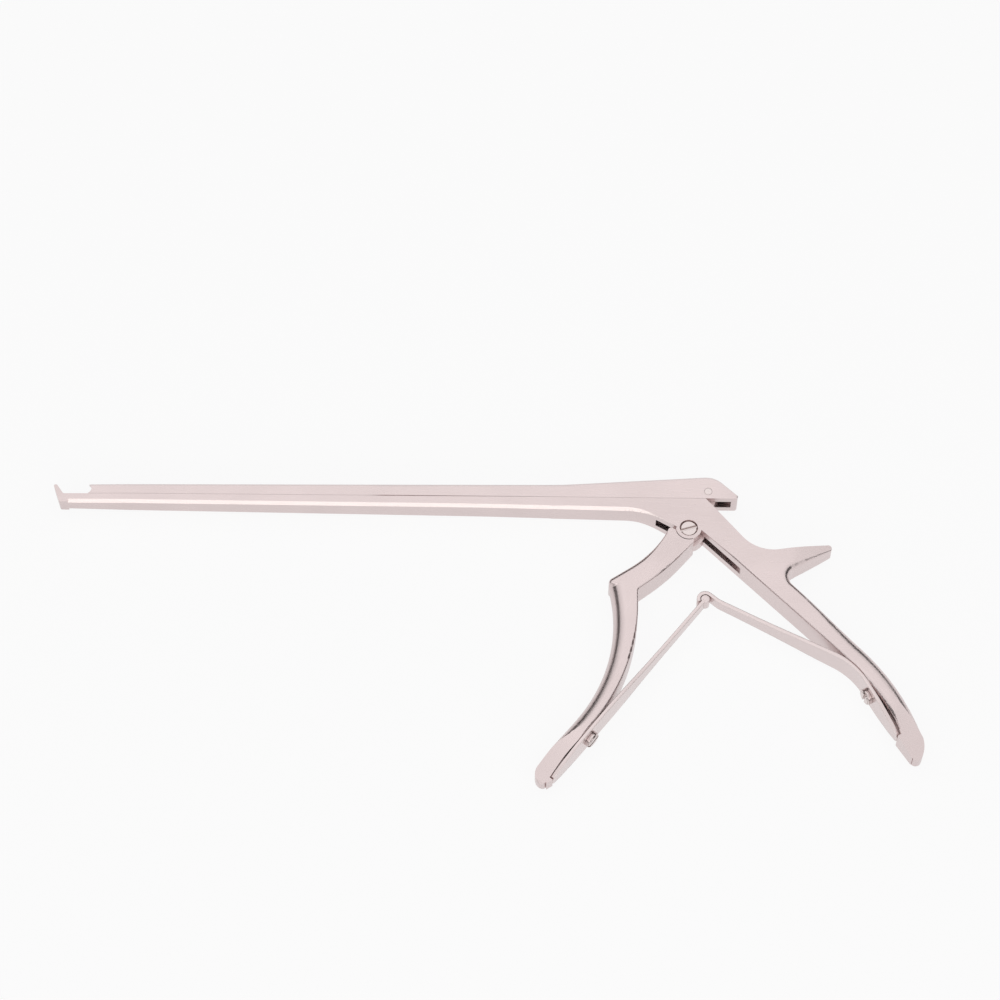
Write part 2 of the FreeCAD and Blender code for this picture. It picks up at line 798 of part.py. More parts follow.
pivot_bore = new_sketch(frame, "XY_Plane", "pivot_bore")
add_circle(pivot_bore, 0, 0, s.pivot_radius + s.pivot_play)
pocket(frame, pivot_bore, s.thickness, backwards=True)
pivot_seat = s.thickness - s.pivot_sink - s.pivot_head_height
pivot_recess = new_sketch(frame, "XY_Plane", "pivot_recess", pivot_seat)
add_circle(pivot_recess, 0, 0, s.pivot_head_radius + s.pivot_play)
pocket(frame, pivot_recess, s.thickness, backwards=True)

cup_face = FreeCAD.Vector(number(foot_out - lean * s.foot_height + s.foot_tip + s.foot_reach), number(s.foot_height), 0)
cup_way = FreeCAD.Vector(cup_face.y, -cup_face.x, 0).normalize()
cup_middle = FreeCAD.Vector(-number(s.foot_reach), number(s.seam_height), number(middle)) + cup_face * 0.55
cup_centre = cup_middle + cup_way * number(s.cup_radius - s.cup_depth)
along_axis(frame, "SubtractiveSphere", "foot_cup", cup_centre, up, Radius=s.cup_radius)

# Front handle: grip, arm and the thin tang that reaches up through the frame into the slide.
front_blank = new_body("front_handle_blank")
front_side = new_sketch(front_blank, "XY_Plane", "front_side")
front_ledge, front_foot = ledge(front_tail, front_way, front_inward)
add_outline(
    front_side,
    [
        (-s.shoulder_x, s.shoulder_y, 0.8),
        (-s.arm_outer_x, -s.arm_outer_y, s.arm_outer_radius),
        (-s.elbow_x, -s.elbow_y, 1.6),
        (-s.front_bend_x, -s.front_bend_y, s.front_bend_radius),
        (-s.front_end_x, -s.front_end_y, 4),
        (-s.front_tip_x, -s.front_tip_y, 1.3),
        (-s.crook_x, -s.front_inner_y, s.front_inner_radius),
        (-s.crook_x, -s.crook_y, 1.2),
        (-s.arm_inner_x, -s.arm_inner_y, s.arm_inner_radius),
        (s.front_root_x, -s.front_root_y, 0.8),
    ],
)
pad(front_blank, front_side, s.thickness)
front_marks = [
    (-s.shoulder_x, s.shoulder_y, s.edge_round),
    (s.front_root_x, -s.front_root_y, s.edge_round),
    (-s.arm_outer_x, -s.arm_outer_y, s.edge_round),
    (-s.arm_inner_x, -s.arm_inner_y, s.edge_round),
    (-s.elbow_x, -s.elbow_y, s.grip_round_top),
    (-s.crook_x, -s.crook_y - 2, s.edge_round),
    (-s.front_bend_x - 14, -s.front_bend_y - 19, s.grip_round),
    (-s.front_end_x, -s.front_end_y + 3, s.grip_round_end),
    (-s.front_end_x, -s.front_end_y - 2.5, s.tip_round),
    (-s.front_tip_x, -s.front_tip_y, s.edge_round),
    (-s.front_bend_x - 8, -s.front_inner_y - 17, s.edge_round),
]
front_rounded = round_sides(front_blank, "front_handle_rounded", front_marks)

front = new_body("front_handle")
front.BaseFeature = front_rounded
taper_cheeks(front, "front_handle", -s.front_end_x - 5, s.drive_x)
raise_tip(front, "front_tip", front_tip_corner, front_ledge, front_foot, front_inward)
cut_tongue(front, "front_tongue", front_tip_corner, front_way, s.tongue_run, 0.0)
hollow = new_sketch(front, "XY_Plane", "knuckle_hollow")
add_circle(hollow, 0, 0, s.knuckle_radius + s.knuckle_gap)
pocket(front, hollow, s.thickness, backwards=True)

drive_length = square_root(s.drive_x * s.drive_x + s.drive_height * s.drive_height)
drive_way = (s.drive_x / drive_length, s.drive_height / drive_length)


def on_tang(along, across):
    """A point of the tang, measured from the pivot towards the drive pin and to its right."""
    right, up = drive_way
    return (right * along + up * across, up * along - right * across)


fork_half = s.drive_pin_radius + s.fork_play + s.fork_wall
hub = new_sketch(front, "XY_Plane", "hub", middle - s.tang_thickness / 2)
add_circle(hub, 0, 0, s.hub_radius)
pad(front, hub, s.tang_thickness)
tang = new_sketch(front, "XY_Plane", "tang", middle - s.tang_thickness / 2)
add_outline(
    tang,
    [
        (*on_tang(s.fork_reach, fork_half), 0.8),
        on_tang(0, fork_half),
        on_tang(0, -fork_half),
        (*on_tang(s.fork_reach, -fork_half), 0.8),
    ],
)
pad(front, tang, s.tang_thickness)
fork = new_sketch(front, "XY_Plane", "fork")
fork_gap = s.drive_pin_radius + s.fork_play
fork_floor = s.drive_height - s.drive_pin_radius - s.fork_play
add_outline(
    fork,
    [
        on_tang(s.fork_reach + 2, fork_gap),
        (*on_tang(fork_floor, fork_gap), fork_gap * 0.9),
        (*on_tang(fork_floor, -fork_gap), fork_gap * 0.9),
        on_tang(s.fork_reach + 2, -fork_gap),
    ],
)
pocket(front, fork, s.thickness, backwards=True)
hub_bore = new_sketch(front, "XY_Plane", "hub_bore")
add_circle(hub_bore, 0, 0, s.pivot_radius + s.pivot_play)
pocket(front, hub_bore, s.thickness, backwards=True)

# Slide: the upper half of the shaft, held down by two T-shaped tongues.
slide = new_body("slide")
slide_front = s.jaw_open - s.foot_reach
slide_side = new_sketch(slide, "XY_Plane", "slide_side", middle - s.root_width / 2)
add_outline(
    slide_side,
    [
        (slide_front, slide_base),
        (slide_front, slide_base + s.slide_front_height, 0.6),
        (-s.slide_break, slide_base + s.slide_break_height, 250),
        (s.slide_crest_x, slide_base + s.slide_crest_height, s.crest_radius),
        (s.slide_back, slide_base, 0.8),
    ],
)
pad(slide, slide_side, s.root_width)
side_reliefs(slide, "slide_plan", shaft_plan[:4] + [(-s.flare_start, s.thickness + 1)], foot_top + 10)


crest = (s.slide_crest_x, slide_base + s.slide_crest_height)
knee = (-s.slide_break, slide_base + s.slide_break_height)


def top_height(x):
    """Height of the slide's top at a place along it."""
    if number(x) < number(knee[0]):
        return between(x, slide_front, slide_base + s.slide_front_height, *knee)
    if number(x) < number(crest[0]):
        return between(x, *knee, *crest)
    return between(x, *crest, s.slide_back, slide_base)


top_stops = []
for x in (slide_front - 1, -s.neck_reach, -s.slide_break):
    height = top_height(x)
    half_width = shaft_half_width(x, height) if number(x) < number(-s.flare_start) else s.root_width / 2
    top_stops.append((x, height, half_width, s.slide_bevel))
crest_arc = arc_points(vector(*knee), vector(*crest), vector(s.slide_back, slide_base), number(s.crest_radius), 6)
for point in crest_arc:
    top_stops.append((point.x, point.y, s.root_width / 2, s.slide_bevel))
slope_end = s.slide_back - s.slide_end_round / 2
top_stops.append((slope_end, top_height(slope_end), s.root_width / 2, s.slide_bevel * 0.5))
bevel_edges(slide, "top", top_stops, 1)
slide_end = new_sketch(slide, "XZ_Plane", "slide_end")
near_side = middle + s.root_width / 2
far_side = middle - s.root_width / 2
end_start = s.slide_back - s.slide_end_round * 2
add_outline(
    slide_end,
    [
        (end_start, s.thickness + 1),
        (s.slide_back + 2, s.thickness + 1),
        (s.slide_back + 2, -1.0),
        (end_start, -1.0),
        (end_start, far_side - 0.001),
        (s.slide_back, far_side - 0.001, s.slide_end_round),
        (s.slide_back, near_side + 0.001, s.slide_end_round),
        (end_start, near_side + 0.001),
    ],
)
pocket(slide, slide_end, foot_top + 10)
for label, reach in (("front", s.tongue_front), ("rear", s.tongue_rear)):
    tongue = new_sketch(slide, "YZ_Plane", "tongue_" + label, -reach)
    tee_profile(tongue, slide_base + 0.5, s.tongue_neck / 2, head_top, s.tongue_head / 2, head_bottom)
    pad(slide, tongue, s.tongue_length)
slide_slot = new_sketch(slide, "XY_Plane", "slide_slot", middle - s.slot_width / 2)
slot_roof = slide_base + s.slide_slot_height
add_outline(
    slide_slot,
    [
        (s.slide_slot_front, slide_base - 2),
        (s.slide_slot_front, slot_roof, 1),
        (s.slide_crest_x + 0.9, slot_roof, 1),
        (s.slide_slot_back, slide_base + s.slide_slot_wall),
        (s.slide_slot_back, slide_base - 2),
    ],
)
pocket(slide, slide_slot, s.slot_width, backwards=True)
pin_bore = new_sketch(slide, "XY_Plane", "pin_bore")
add_circle(pin_bore, s.drive_x, s.drive_height, s.drive_pin_radius + s.pin_play)
pocket(slide, pin_bore, s.thickness, backwards=True)
jaw_hollow = new_sketch(slide, "XY_Plane", "jaw_hollow")
hollow_height = slide_base + s.slide_front_height / 2
add_circle(jaw_hollow, slide_front - s.jaw_hollow_radius + s.jaw_hollow_depth, hollow_height, s.jaw_hollow_radius)
pocket(slide, jaw_hollow, s.thickness, backwards=True)
jaw_cup = FreeCAD.Vector(number(slide_front - s.jaw_hollow_radius / 2), number(hollow_height), number(middle))
along_axis(slide, "SubtractiveSphere", "jaw_cup", jaw_cup, up, Radius=s.jaw_hollow_radius + s.jaw_hollow_depth / 2)

# Drive pin: a plain cross pin, flush with both sides of the slide.
drive_pin = new_body("drive_pin")
pin_side = new_sketch(drive_pin, "XY_Plane", "pin_side", middle - s.root_width / 2)
add_circle(pin_side, s.drive_x, s.drive_height, s.drive_pin_radius)
pad(drive_pin, pin_side, s.root_width)

# Pivot screw, sunk into the near side of the frame.
pivot_place = FreeCAD.Vector(0, 0, number(pivot_seat))
pivot_length = pivot_seat - 0.2
slotted_screw(
    "pivot_screw", s.pivot_radius, pivot_length, s.pivot_head_radius, s.pivot_head_height, pivot_place, up, 17.0
)

# Leaf springs: each is screwed to the inner side of a grip and they meet at a bead in a hook.
def taper(body, name, corners):
    """Trim both edges of a leaf to a plan of (x, half width) corners, from root to hinge."""
    for side, flip in (("near", False), ("far", True)):
        sketch = new_sketch(body, "XZ_Plane", "%s_%s" % (name, side), s.front_end_y + 10)
        ends = [(corners[0][0], s.thickness), (corners[-1][0], s.thickness)]
        plan = [ends[0]] + [(c[0], middle + c[1], *c[2:]) for c in corners] + [ends[1]]
        if flip:
            plan = [(c[0], s.thickness - c[1], *c[2:]) for c in plan]
        add_outline(sketch, plan)
        pocket(body, sketch, s.front_end_y + 5)


def screw_hole(body, name, place, way, length):
    """A round hole for a spring screw, from a place on the screw's axis along its shank."""
    hole_radius = s.spring_screw_radius + s.pivot_play
    doc.recompute()
    volume = body.Shape.Volume
    along_axis(body, "SubtractiveCylinder", name, place, way, Radius=hole_radius, Height=length)
    doc.recompute()
    if body.Shape.Volume > volume - 1e-3:
        raise ValueError(name + " cuts nothing")


def leaf_recess(body, name, seat, way, inward, tail, dip, upper_end):
    """Mill the grip behind a leaf: flat at the screw and hollow between the screw and the tail."""
    sketch = new_sketch(body, "XY_Plane", name)
    floor = seat - inward * leaf_lift
    reach = number(tail + s.tail_gap)
    half = number(s.seat_half)
    clear = inward * 4
    points = [
        (floor - way * reach,),
        (floor - way * ((reach + half) / 2) - inward * number(dip), 30.0),
        (floor - way * half,),
        *upper_end,
        (upper_end[-1][0] + clear,),
        (floor - way * reach + clear,),
    ]
    add_outline(sketch, [(p[0].x, p[0].y, *p[1:]) for p in points])
    pocket(body, sketch, s.thickness, backwards=True)


# Front leaf: flat on the straight stretch of the front grip, then straight on to the hinge.
front_lift = front_seat + front_way * 4.0
front_leaf = new_body("front_leaf_spring")
front_strip = new_sketch(front_leaf, "XY_Plane", "front_strip", middle - s.leaf_root_width / 2)
add_outline(front_strip, ribbon([(front_tail.x, front_tail.y), (front_lift.x, front_lift.y, 200.0),
                                 (hinge.x, hinge.y)], number(s.leaf_thickness)))
pad(front_leaf, front_strip, s.leaf_root_width)
taper(front_leaf, "front_taper", [(front_seat.x + 3, s.leaf_root_width / 2 + 0.01), (hinge.x - 14, s.leaf_middle_width / 2, 150), (hinge.x + 4, s.leaf_end_width / 2)])
front_end = front_tail + front_inward * half_leaf
cut_tongue(front_leaf, "front_leaf_tongue", front_end - front_way * (number(s.front_screw_reach - s.front_leaf_tail)), front_way, s.tongue_run, s.leaf_inset)
front_floor_end = front_seat - front_inward * leaf_lift + front_way * number(s.seat_above)
leaf_recess(
    front, "front_recess", front_seat, front_way, front_inward, s.front_leaf_tail, s.front_dip, [(front_floor_end,)]
)
bead = new_sketch(front_leaf, "XY_Plane", "bead", middle - s.leaf_end_width / 2)
add_circle(bead, s.hinge_x, -s.hinge_y, s.ball_radius)
pad(front_leaf, bead, s.leaf_end_width)
front_head_seat = front_seat + front_inward * half_leaf + mid_plane
screw_hole(front_leaf, "front_leaf_hole", front_head_seat + front_inward, -front_inward, s.spring_screw_length)
screw_hole(front, "front_thread", front_head_seat, -front_inward, s.spring_screw_length)
slotted_screw("front_spring_screw", s.spring_screw_radius, s.spring_screw_length, s.spring_screw_head,
              s.spring_screw_height, front_head_seat, front_inward, 60.0)

# Rear leaf: flat past its screw, then a long bend and a hook round the bead.
hook_radius = number(s.ball_radius + s.hook_play) + half_leaf


def round_hinge(angle, reach):
    return hinge + heading(angle) * reach


hook_start = number(s.hook_angle)
hook_way = heading(hook_start + 90)
hook_foot = round_hinge(hook_start, hook_radius) - hook_way * number(s.hook_lead)
free_way = heading(-number(s.rear_leaf_angle))
rear_corner = crossing(rear_seat, rear_way, hook_foot, free_way)
hook_end_angle = hook_start + number(s.hook_wrap)
half_wrap = math.radians(number(s.hook_wrap) / 2)
hook_corner = round_hinge((hook_start + hook_end_angle) / 2, hook_radius / math.cos(half_wrap))
hook_end = round_hinge(hook_end_angle, hook_radius) + heading(hook_end_angle + 90) * 0.2
hook_path = [
    (rear_tail.x, rear_tail.y),
    (rear_corner.x, rear_corner.y, number(s.rear_leaf_radius)),
    (hook_foot.x, hook_foot.y, 4.0),
    (hook_corner.x, hook_corner.y, hook_radius),
    (hook_end.x, hook_end.y),
]
rear_leaf = new_body("rear_leaf_spring")
rear_strip = new_sketch(rear_leaf, "XY_Plane", "rear_strip", middle - s.leaf_root_width / 2)
add_outline(rear_strip, ribbon(hook_path, number(s.leaf_thickness)))
pad(rear_leaf, rear_strip, s.leaf_root_width)
taper(rear_leaf, "rear_taper", [(rear_seat.x - 3, s.leaf_root_width / 2 + 0.01), (hinge.x + 15, s.leaf_middle_width / 2, 150), (hinge.x - 4, s.leaf_end_width / 2)])
rear_head_seat = rear_seat + rear_inward * half_leaf + mid_plane
screw_hole(rear_leaf, "rear_leaf_hole", rear_head_seat + rear_inward, -rear_inward, s.spring_screw_length)
screw_hole(frame, "rear_thread", rear_head_seat, -rear_inward, s.spring_screw_length)
slotted_screw("rear_spring_screw", s.spring_screw_radius, s.spring_screw_length, s.spring_screw_head,
              s.spring_screw_height, rear_head_seat, rear_inward, 25.0)
free_inward = FreeCAD.Vector(free_way.y, -free_way.x, 0)
back_of_seat = rear_seat - rear_inward * leaf_lift
back_of_free = hook_foot - free_inward * leaf_lift
floor_bend = crossing(back_of_seat, rear_way, back_of_free, free_way)
rear_floor = [
    (floor_bend, number(s.rear_leaf_radius) + leaf_lift),
    (floor_bend - free_way * 12,),
]
leaf_recess(
    frame, "rear_recess", rear_seat, rear_way, rear_inward, s.rear_leaf_tail, s.rear_dip, rear_floor
)
cut_tongue(rear_leaf, "rear_leaf_tongue", rear_corner_point, rear_face_way, s.tongue_run, s.leaf_inset)

doc.recompute()
for item in doc.Objects:
    if "Invalid" in item.State or "Error" in item.State:
        raise ValueError(item.Name + " failed")
NODES = (
    "frame",
    "slide",
    "front_handle",
    "pivot_screw",
    "drive_pin",
    "front_leaf_spring",
    "rear_leaf_spring",
    "front_spring_screw",
    "rear_spring_screw",
)
for node in NODES:
    piece = doc.getObject(node)
    shape = piece.Shape
    if shape.isNull() or not shape.isValid() or len(shape.Solids) != 1:
        raise ValueError("%s is not one valid solid" % node)
    shape.exportStep("parts/%s.step" % node)
    box = shape.BoundBox
    print("%-20s volume %8.1f mm3, X %.1f to %.1f, Y %.1f to %.1f, Z %.1f to %.1f" % (
        node, shape.Volume, box.XMin, box.XMax, box.YMin, box.YMax, box.ZMin, box.ZMax))
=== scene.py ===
# %% [markdown]
# # A bone rongeur in Blender
# The tool is made of forged and milled stainless steel. Its exact pieces come from a CAD
# model, so every size is right from the start. The work here is on what the eye reads as
# steel: crisp edges, a satin grind that runs along each piece, and leaf springs swept along
# their paths.

# %% Load the CAD pieces
import math

import bmesh
import bpy
from mathutils import Matrix, Vector


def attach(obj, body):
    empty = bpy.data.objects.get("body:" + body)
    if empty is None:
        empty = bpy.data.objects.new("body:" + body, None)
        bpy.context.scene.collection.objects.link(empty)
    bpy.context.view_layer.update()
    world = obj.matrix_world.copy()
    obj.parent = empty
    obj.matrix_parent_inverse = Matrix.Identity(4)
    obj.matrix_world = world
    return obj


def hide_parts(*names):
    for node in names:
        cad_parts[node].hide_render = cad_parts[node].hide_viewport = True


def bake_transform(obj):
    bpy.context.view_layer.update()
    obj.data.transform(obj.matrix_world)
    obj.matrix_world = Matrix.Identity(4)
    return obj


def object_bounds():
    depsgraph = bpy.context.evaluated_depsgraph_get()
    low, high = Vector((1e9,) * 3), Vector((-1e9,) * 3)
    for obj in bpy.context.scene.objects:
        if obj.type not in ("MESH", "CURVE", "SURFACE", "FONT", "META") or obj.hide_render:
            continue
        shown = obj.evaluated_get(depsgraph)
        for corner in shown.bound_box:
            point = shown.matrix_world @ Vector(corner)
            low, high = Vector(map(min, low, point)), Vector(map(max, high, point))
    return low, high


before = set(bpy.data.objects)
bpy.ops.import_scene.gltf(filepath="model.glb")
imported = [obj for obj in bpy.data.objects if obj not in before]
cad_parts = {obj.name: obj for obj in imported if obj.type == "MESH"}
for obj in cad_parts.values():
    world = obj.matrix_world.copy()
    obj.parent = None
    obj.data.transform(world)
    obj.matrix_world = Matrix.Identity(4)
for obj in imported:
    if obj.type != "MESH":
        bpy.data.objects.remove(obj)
cad_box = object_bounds()
# Sizes and places in this script are in mm where MM turns them to metres.
MM = 0.001
# Height of the tool's middle plane: the tool lies on its side, and both sides are alike.
MIDDLE = round((cad_box[0][2] + cad_box[1][2]) / 2 / MM, 3)
print("pieces:", sorted(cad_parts), "middle plane:", MIDDLE)
print("CAD box:", [[round(v, 4) for v in corner] for corner in cad_box])

# %% [markdown]
# ## Colours, nodes and objects
# A colour given in hex is an sRGB value, while Blender's sockets want linear light, so one
# function turns a hex colour into linear numbers. A second one adds a shader node with its
# settings and its links, so that each material reads as a list. A third one puts a mesh, a
# curve or a lamp in the scene.

# %% Helpers for colours, nodes and objects
def linear(hex_colour):
    """Linear red, green, blue and alpha of an sRGB colour."""
    channels = [int(hex_colour[i:i + 2], 16) / 255 for i in (1, 3, 5)]
    return [c / 12.92 if c <= 0.04045 else ((c + 0.055) / 1.055) ** 2.4 for c in channels] + [1.0]


def add_node(tree, kind, inputs=None, **settings):
    node = tree.nodes.new(kind)
    for name, value in settings.items():
        setattr(node, name, value)
    for name, value in (inputs or {}).items():
        socket = node.inputs[name]
        if isinstance(value, bpy.types.NodeSocket):
            tree.links.new(value, socket)
        else:
            socket.default_value = value
    return node


def new_object(name, data):
    made = bpy.data.objects.new(name, data)
    bpy.context.scene.collection.objects.link(made)
    return made


WARM_STEEL = "#DECFCE"
print("warm steel in linear light:", [round(c, 3) for c in linear(WARM_STEEL)])

# %% [markdown]
# ## Satin stainless steel
# The real surface is martensitic stainless steel, ground with a fine belt and then brushed or
# blasted to a satin finish, so that it doesn't dazzle in an operating theatre. The eye sees a
# soft, slightly warm grey with faint streaks along each piece. A stretched noise makes the
# streaks, which change the roughness and hardly the colour, because bare metal has nearly one
# colour. A second, broad noise darkens it by a few percent in patches. Streaks of real grit
# would be 0.02 mm wide and too fine to see, so they are drawn 0.08 to 0.15 mm wide.

# %% Satin steel
# A streak is fifty times as long as it is wide, and a patch of tone is about 17 mm wide.
STREAK_SQUASH = 0.02
BROAD_PER_METRE = 60.0
# Noise keeps mostly between these values, which are spread over the range that is wanted.
NOISE_SPREAD = {"From Min": 0.3, "From Max": 0.7}
ROUGH_LESS, ROUGH_MORE = 0.04, 0.05
STREAK_SHADE = 0.985
GRIND_DEPTH = 0.02
GRIND_STRENGTH = 0.04


def satin_steel(name, colour, roughness, along, streak_mm=0.15, tone=0.10):
    """along: the grind's direction in degrees; tone: how far the broad noise darkens."""
    material = bpy.data.materials.new(name)
    material.use_nodes = True
    tree = material.node_tree
    place = add_node(tree, "ShaderNodeTexCoord")
    turned = add_node(
        tree, "ShaderNodeMapping",
        {"Vector": place.outputs["Object"], "Rotation": (0, 0, -math.radians(along))},
    )
    per_metre = 1 / (streak_mm * MM)
    squashed = (per_metre * STREAK_SQUASH, per_metre, per_metre)
    stretched = add_node(
        tree, "ShaderNodeMapping", {"Vector": turned.outputs["Vector"], "Scale": squashed}
    )
    streaks = add_node(
        tree, "ShaderNodeTexNoise",
        {"Vector": stretched.outputs["Vector"], "Scale": 1.0, "Detail": 2.0},
    )
    broad = add_node(
        tree, "ShaderNodeTexNoise",
        {"Vector": place.outputs["Object"], "Scale": BROAD_PER_METRE, "Detail": 1.0},
    )
    rough = add_node(
        tree, "ShaderNodeMapRange",
        {"Value": streaks.outputs["Fac"], **NOISE_SPREAD,
         "To Min": roughness - ROUGH_LESS, "To Max": roughness + ROUGH_MORE},
    )
    shade = add_node(
        tree, "ShaderNodeMapRange",
        {"Value": broad.outputs["Fac"], **NOISE_SPREAD, "To Min": 1 - tone / 2, "To Max": 1.0},
    )
    fine = add_node(
        tree, "ShaderNodeMapRange",
        {"Value": streaks.outputs["Fac"], **NOISE_SPREAD, "To Min": STREAK_SHADE, "To Max": 1.0},
    )
    both = add_node(
        tree, "ShaderNodeMath",
        {0: shade.outputs["Result"], 1: fine.outputs["Result"]}, operation="MULTIPLY",
    )
    # In colour mode the Mix node's colours are inputs 6 and 7 and output 2.
    tint = add_node(
        tree, "ShaderNodeMix",
        {0: 1.0, 6: linear(colour), 7: both.outputs["Value"]},
        data_type="RGBA", blend_type="MULTIPLY",
    )
    bump = add_node(
        tree, "ShaderNodeBump",
        {"Height": streaks.outputs["Fac"], "Strength": GRIND_STRENGTH, "Distance": GRIND_DEPTH * MM},
    )
    shader = tree.nodes["Principled BSDF"]
    shader.inputs["Metallic"].default_value = 1.0
    tree.links.new(tint.outputs[2], shader.inputs["Base Color"])
    tree.links.new(rough.outputs["Result"], shader.inputs["Roughness"])
    tree.links.new(bump.outputs["Normal"], shader.inputs["Normal"])
    return material


# %% The steels of the tool
# Belt-ground forgings: a soft sheen, with streaks along the shaft, the slide or the grip.
forged_steel = satin_steel("satin_forged_stainless", WARM_STEEL, 0.30, along=0)
slide_steel = satin_steel("satin_slide_stainless", WARM_STEEL, 0.29, along=-1)
front_grip_steel = satin_steel("satin_front_grip_stainless", WARM_STEEL, 0.31, along=60)
# Ground spring strip: a finer grit and a tighter sheen.
leaf_steel = satin_steel("ground_spring_steel", "#DDCFCE", 0.26, along=50, streak_mm=0.1, tone=0.05)
# Turned screws: the smoothest and brightest of the pieces.
screw_steel = satin_steel("turned_screw_steel", "#DED2D0", 0.24, along=20, streak_mm=0.08, tone=0.05)
# Broken edges: a darker steel, a painted shade that draws a fine dark line round each piece where a
# real edge would mirror its dark surroundings.
painted_dark_edge_steel = satin_steel("painted_dark_edge_satin", "#94837F", 0.20, along=0, tone=0.05)
# The wide bevel under the shaft: a lighter steel, a painted highlight, so it shows as a bright band.
painted_highlight_steel = satin_steel("painted_highlight_satin", "#E6D9D6", 0.28, along=0, tone=0.03)
print("materials:", [m.name for m in bpy.data.materials])

# %% [markdown]
# ## Crisp edges
# No real edge is perfectly sharp: a belt breaks a tenth of a millimetre or two off it, and that
# sliver outlines each piece. A CAD mesh arrives as loose triangles with no such edge. So
# a copy is merged, its flat faces are joined, and a Bevel modifier breaks every edge sharper
# than 28 degrees. The sliver gets a steel of its own, a painted dark line or a painted
# highlight. The copy then stands in for the CAD piece, which stays behind it for the physics.

# %% A copy of a CAD piece with its faces joined
SAME_POINT = 0.01 * MM
FLAT_ANGLE = math.radians(0.1)


def merged_copy(node, material):
    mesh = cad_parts[node].data.copy()
    mesh.name = node + "_finished"
    shape = bmesh.new()
    shape.from_mesh(mesh)
    bmesh.ops.remove_doubles(shape, verts=shape.verts, dist=SAME_POINT)
    bmesh.ops.dissolve_limit(shape, angle_limit=FLAT_ANGLE, verts=shape.verts, edges=shape.edges)
    shape.to_mesh(mesh)
    shape.free()
    mesh.materials.clear()
    mesh.materials.append(material)
    mesh.shade_smooth()
    return new_object(mesh.name, mesh)


def bake_modifiers(piece):
    """Turn a piece with live modifiers into a plain mesh."""
    graph = bpy.context.evaluated_depsgraph_get()
    mesh = bpy.data.meshes.new_from_object(piece.evaluated_get(graph))
    piece.modifiers.clear()
    piece.data = mesh


# %% Break the edges of a piece
SHARP_ANGLE = math.radians(28)
# The seam, where the slide runs on the frame: its height, its end and its reach, in mm. Its
# edges are broken less, because the two halves are ground together.
SEAM = 10.45
SEAM_END = 3
SEAM_REACH = 0.2
SEAM_SHARE = 0.25
# The attribute that the Bevel modifier reads as the weight of each edge.
EDGE_WEIGHT = "bevel_weight_edge"


def at_seam(place):
    return abs(place.y - SEAM) < SEAM_REACH and place.x < SEAM_END


def break_edges(piece, width_mm, steel):
    shape = bmesh.new()
    shape.from_mesh(piece.data)
    weight = shape.edges.layers.float.new(EDGE_WEIGHT)
    for edge in shape.edges:
        if len(edge.link_faces) == 2 and edge.calc_face_angle(0) > SHARP_ANGLE:
            middle = (edge.verts[0].co + edge.verts[1].co) / 2 / MM
            edge[weight] = SEAM_SHARE if at_seam(middle) else 1.0
    shape.to_mesh(piece.data)
    shape.free()
    # The broken edges take the given steel: the darker one is painted shade, the lighter one a painted
    # highlight.
    piece.data.materials.append(steel)
    bevel = piece.modifiers.new("broken_edge", "BEVEL")
    bevel.width = width_mm * MM
    bevel.segments = 2
    bevel.limit_method = "WEIGHT"
    bevel.material = len(piece.data.materials) - 1
    flat = piece.modifiers.new("flat_faces", "WEIGHTED_NORMAL")
    flat.weight = 100
    bake_modifiers(piece)
    spare = piece.data.attributes.get(EDGE_WEIGHT)
    if spare:
        piece.data.attributes.remove(spare)
    print(piece.name, len(piece.data.polygons), "faces")


# %% [markdown]
# ## The wide bevel under the shaft
# The shaft's lower edges carry a flat of nearly a millimetre, so that the tool doesn't cut a
# glove. It runs on round the curved root and dies out at the knuckle of the handles. A grinder
# makes it by leading the edge along a wheel, and here a cutter does the same: a three-sided bar
# that follows the lower edge, taken away from the copy with a Boolean modifier.

# %% A path with a rounded corner, and a cutter
def rounded_path(corners, steps=16):
    """Points along two straight runs; a corner is x, y and radius, and the middle one is round."""
    first, corner, last = (Vector(c[:2]) for c in corners)
    radius = corners[1][2]
    into, out = (corner - first).normalized(), (last - corner).normalized()
    half_turn = into.angle(out) / 2
    side = Vector((into.y, -into.x))
    turn = -2 * half_turn
    if side.dot(out) < 0:
        side = -side
        turn = -turn
    start = corner - into * (radius * math.tan(half_turn))
    centre = start + side * radius
    arc = []
    for step in range(steps + 1):
        spoke = (start - centre).copy()
        spoke.rotate(Matrix.Rotation(turn * step / steps, 2))
        arc.append(centre + spoke)
    return [first] + arc + [last]


def cut_away(piece, name, verts, faces):
    """Take a closed shape, given by its points and faces in metres, away from a piece."""
    mesh = bpy.data.meshes.new(name)
    mesh.from_pydata(verts, [], faces)
    shape = bmesh.new()
    shape.from_mesh(mesh)
    bmesh.ops.recalc_face_normals(shape, faces=shape.faces)
    shape.to_mesh(mesh)
    shape.free()
    cutter = new_object(name, mesh)
    cut = piece.modifiers.new(name, "BOOLEAN")
    cut.operation = "DIFFERENCE"
    cut.solver = "EXACT"
    cut.object = cutter
    before = len(piece.data.polygons)
    bake_modifiers(piece)
    bpy.data.objects.remove(cutter)
    print(piece.name, "faces before and after", name + ":", before, len(piece.data.polygons))


